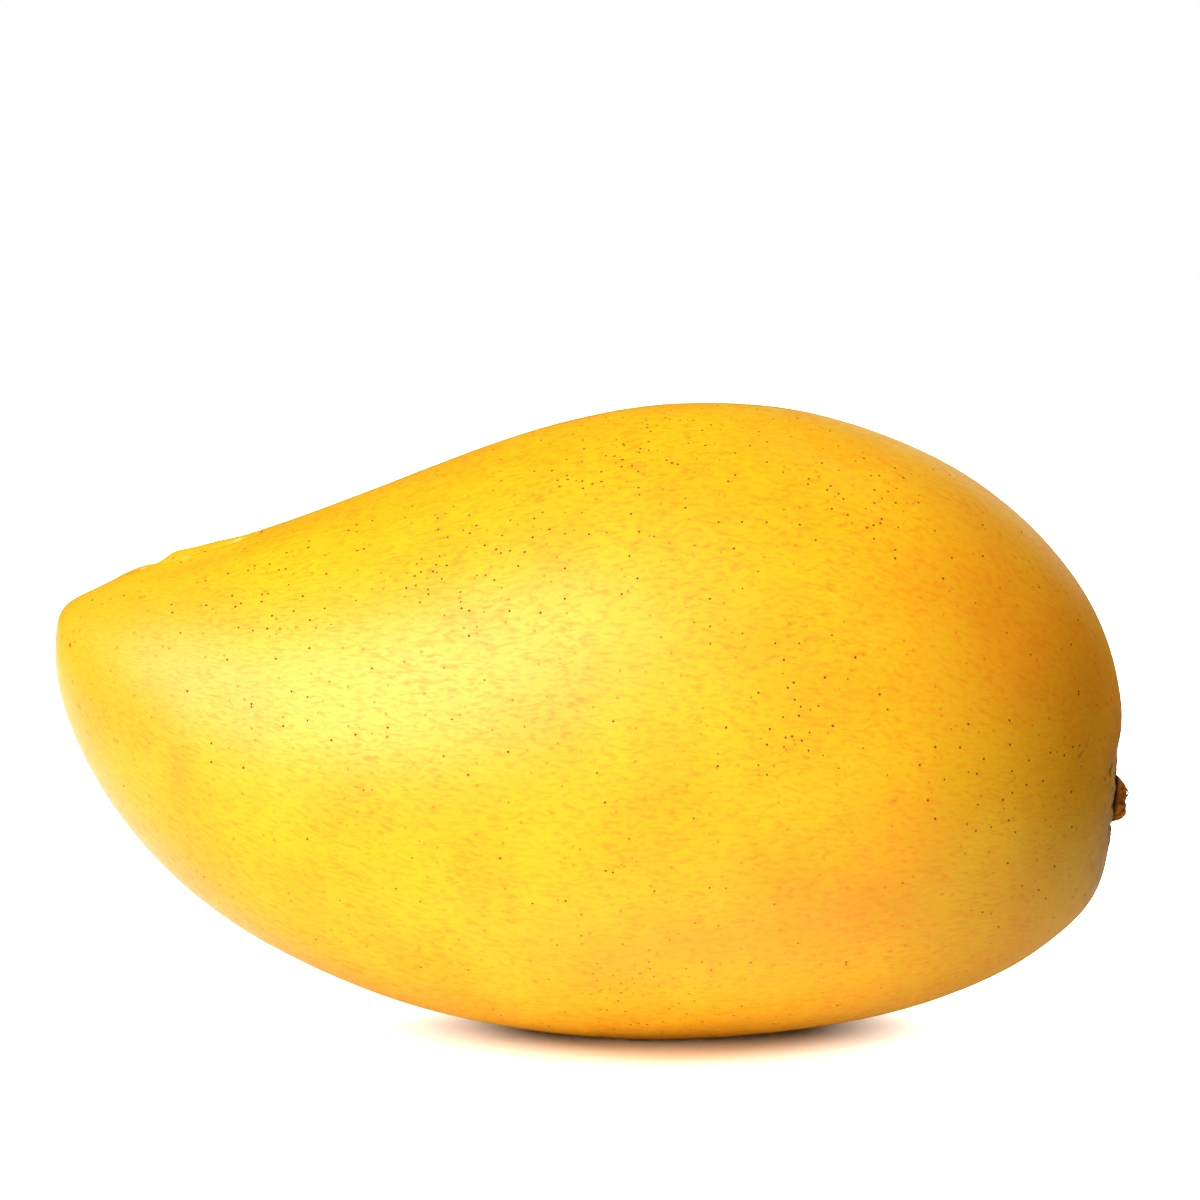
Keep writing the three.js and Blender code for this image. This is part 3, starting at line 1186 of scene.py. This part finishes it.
@dataclass
class Studio:
    """A strip of white paper under its own lights, a softbox to the left of the camera, and a dim room.

    A second softbox and a faint glow behind the fruit light its far rim. Sizes are in metres.
    """

    paper_left: float = -0.23
    paper_right: float = 0.10
    paper_front: float = -0.6
    paper_back: float = 0.42
    paper_drop: float = 0.05 * MM
    paper_white: float = 0.9
    target: tuple[float, float, float] = (0.0, 0.0, 0.035)
    softboxes: tuple[Softbox, ...] = (
        Softbox("key_softbox", Lit.FRUIT, 40, 27, 1.2, 0.64, 1.2, power=22.5),
        Softbox("rim_softbox", Lit.FRUIT, -138, 40, 1.4, 0.9, 0.9, power=12.5, mirrored=False),
        Softbox("back_wall_glow", Lit.FRUIT, -163, 9, 1.5, 0.7, 0.45, power=1.0),
        Softbox("paper_top_light", Lit.PAPER, 180, 72, 1.6, 3.0, 3.0, power=150.0),
        Softbox("paper_left_light", Lit.PAPER, 92, 22, 2.0, 0.8, 0.8, power=90.0),
        Softbox("paper_right_light", Lit.PAPER, -92, 24, 2.0, 0.8, 0.8, power=90.0),
        Softbox("paper_front_light", Lit.PAPER, 0, 40, 2.0, 2.4, 2.4, power=80.0, colour="#FFD8B0"),
    )
    room_front: tuple[float, float, float] = (-0.45, -0.8, 0.4)
    room_dim: float = 0.06
    room_bright: float = 0.37
    near_bounce: float = 0.62
    far_bounce: float = 0.135
    bounce_fade: tuple[float, float] = (10 * MM, 78 * MM)
    front_mirrored: float = 0.11
    left_mirrored: float = 0.5
    right_mirrored: float = 0.14
    mirrored_half: float = 60 * MM
    mirrored_slant: tuple[float, float, float] = (-0.8, 1.0, 0.0)
    slant_fade: tuple[float, float] = (-10 * MM, 50 * MM)

    def build(self) -> None:
        """Makes the paper, the lights and the room."""
        paper = self._paper()
        for softbox in self.softboxes:
            softbox.hang(Vector(self.target), paper)
        self._room()
        view = bpy.context.scene.view_settings
        view.view_transform = "Standard"
        view.look = "None"

    def _paper(self) -> bpy.types.Object:
        """Lays the white paper, shown brighter than it lights and mirrors in the fruit.

        Returns:
            The paper.
        """
        sheet = bmesh.new()
        bmesh.ops.create_grid(sheet, x_segments=1, y_segments=1, size=0.5)
        size = (self.paper_right - self.paper_left, self.paper_back - self.paper_front, 1)
        bmesh.ops.scale(sheet, vec=size, verts=sheet.verts[:])
        across = (self.paper_right + self.paper_left) / 2
        deep = (self.paper_back + self.paper_front) / 2
        bmesh.ops.translate(sheet, vec=(across, deep, -self.paper_drop), verts=sheet.verts[:])
        paper = add_piece("paper", sheet)
        material, tree = blank_material("white_paper")
        place = add_node(tree, "TexCoord", {}).outputs["Object"]
        side = add_node(tree, "SeparateXYZ", {0: place}).outputs["X"]
        away = add_node(tree, "VectorMath", {0: place}, operation="LENGTH").outputs["Value"]
        fade = {"Value": away, "From Min": self.bounce_fade[0], "From Max": self.bounce_fade[1]}
        fade.update({"To Min": self.near_bounce, "To Max": self.far_bounce})
        bounce = add_node(tree, "MapRange", fade, interpolation_type="SMOOTHSTEP")
        fade = {"Value": side, "From Min": -self.mirrored_half, "From Max": self.mirrored_half}
        fade.update({"To Min": self.left_mirrored, "To Max": self.right_mirrored})
        behind = add_node(tree, "MapRange", fade)
        slant = {0: place, 1: self.mirrored_slant}
        back = add_node(tree, "VectorMath", slant, operation="DOT_PRODUCT").outputs["Value"]
        fade = {"Value": back, "From Min": self.slant_fade[0], "From Max": self.slant_fade[1]}
        depth = {"Factor": add_node(tree, "MapRange", fade), "A": self.front_mirrored, "B": behind}
        path = add_node(tree, "LightPath", {})
        mirrored = add_node(tree, "Mix", depth)
        lit = {"Factor": path.outputs["Is Diffuse Ray"], "A": mirrored, "B": bounce}
        unseen = add_node(tree, "Mix", lit)
        shown = {"Factor": path.outputs["Is Camera Ray"], "A": unseen, "B": self.paper_white}
        shader = add_node(tree, "BsdfDiffuse", {"Color": add_node(tree, "Mix", shown)})
        add_node(tree, "OutputMaterial", {"Surface": shader})
        paper.data.materials.append(material)
        return paper

    def _room(self) -> None:
        """Shows the room white, and lights the fruit with it dimly, most from the side of the softbox."""
        world = bpy.data.worlds.new("room")
        world.use_nodes = True
        tree = world.node_tree
        tree.nodes.clear()
        direction = add_node(tree, "TexCoord", {}).outputs["Generated"]
        facing = {0: direction, 1: Vector(self.room_front).normalized()}
        towards = add_node(tree, "VectorMath", facing, operation="DOT_PRODUCT").outputs["Value"]
        dim = {"Value": towards, "From Min": -0.5, "From Max": 0.8}
        dim.update({"To Min": self.room_dim, "To Max": self.room_bright})
        glow = add_node(tree, "MapRange", dim, interpolation_type="SMOOTHSTEP")
        seen = add_node(tree, "LightPath", {}).outputs["Is Camera Ray"]
        strength = add_node(tree, "Mix", {"Factor": seen, "A": glow, "B": 1.0})
        light = add_node(tree, "Background", {"Color": (1, 1, 1, 1), "Strength": strength})
        add_node(tree, "OutputWorld", {"Surface": light})
        bpy.context.scene.world = world


def place_on(piece: bpy.types.Object, view: PhotoView, pixel: Pixel) -> Vector:
    """Finds the point of a piece that a pixel of the photograph shows.

    Args:
        piece: the piece, in the scene's frame.
        view: the photograph's view.
        pixel: the pixel.

    Returns:
        The point that the camera sees there, or the nearest one where it looks past the piece, in mm.
    """
    eye, ray = view.eye(), view.ray(pixel)
    found, point, _, _ = piece.ray_cast(eye, ray)
    if not found:
        beside = eye + ray * (Vector(view.aim) - eye).length
        _, point, _, _ = piece.closest_point_on_mesh(beside)
    return point / MM


def main() -> None:
    """Builds the mango and its studio."""
    logging.basicConfig(level=logging.INFO, format="%(name)s: %(message)s")
    view = PhotoView()
    view.add_camera()
    Studio().build()
    fruit = Fruit()
    skin = fruit.build()
    bpy.context.view_layer.update()
    clusters = [(place_on(skin, view, pixel), reach) for pixel, reach in FRECKLE_CLUSTERS]
    fruit.write_freckles(skin.data, clusters)
    marks = [(mark, place_on(skin, view, mark.start), place_on(skin, view, mark.end)) for mark in SKIN_MARKS]
    places = SkinMap(
        stem=fruit.stem_foot,
        blush=place_on(skin, view, BLUSH),
        shoulder_rim_light=place_on(skin, view, SHOULDER_RIM_LIGHT),
        beak=place_on(skin, view, BEAK),
        marks=marks,
    )
    skin.data.materials.append(RipeMangoSkin().material(places))
    LOG.info("skin: %d faces", len(skin.data.polygons))
    for piece in StemStub().build():
        LOG.info("%s: %d faces", piece.name, len(piece.data.polygons))


if __name__ == "__main__":
    main()
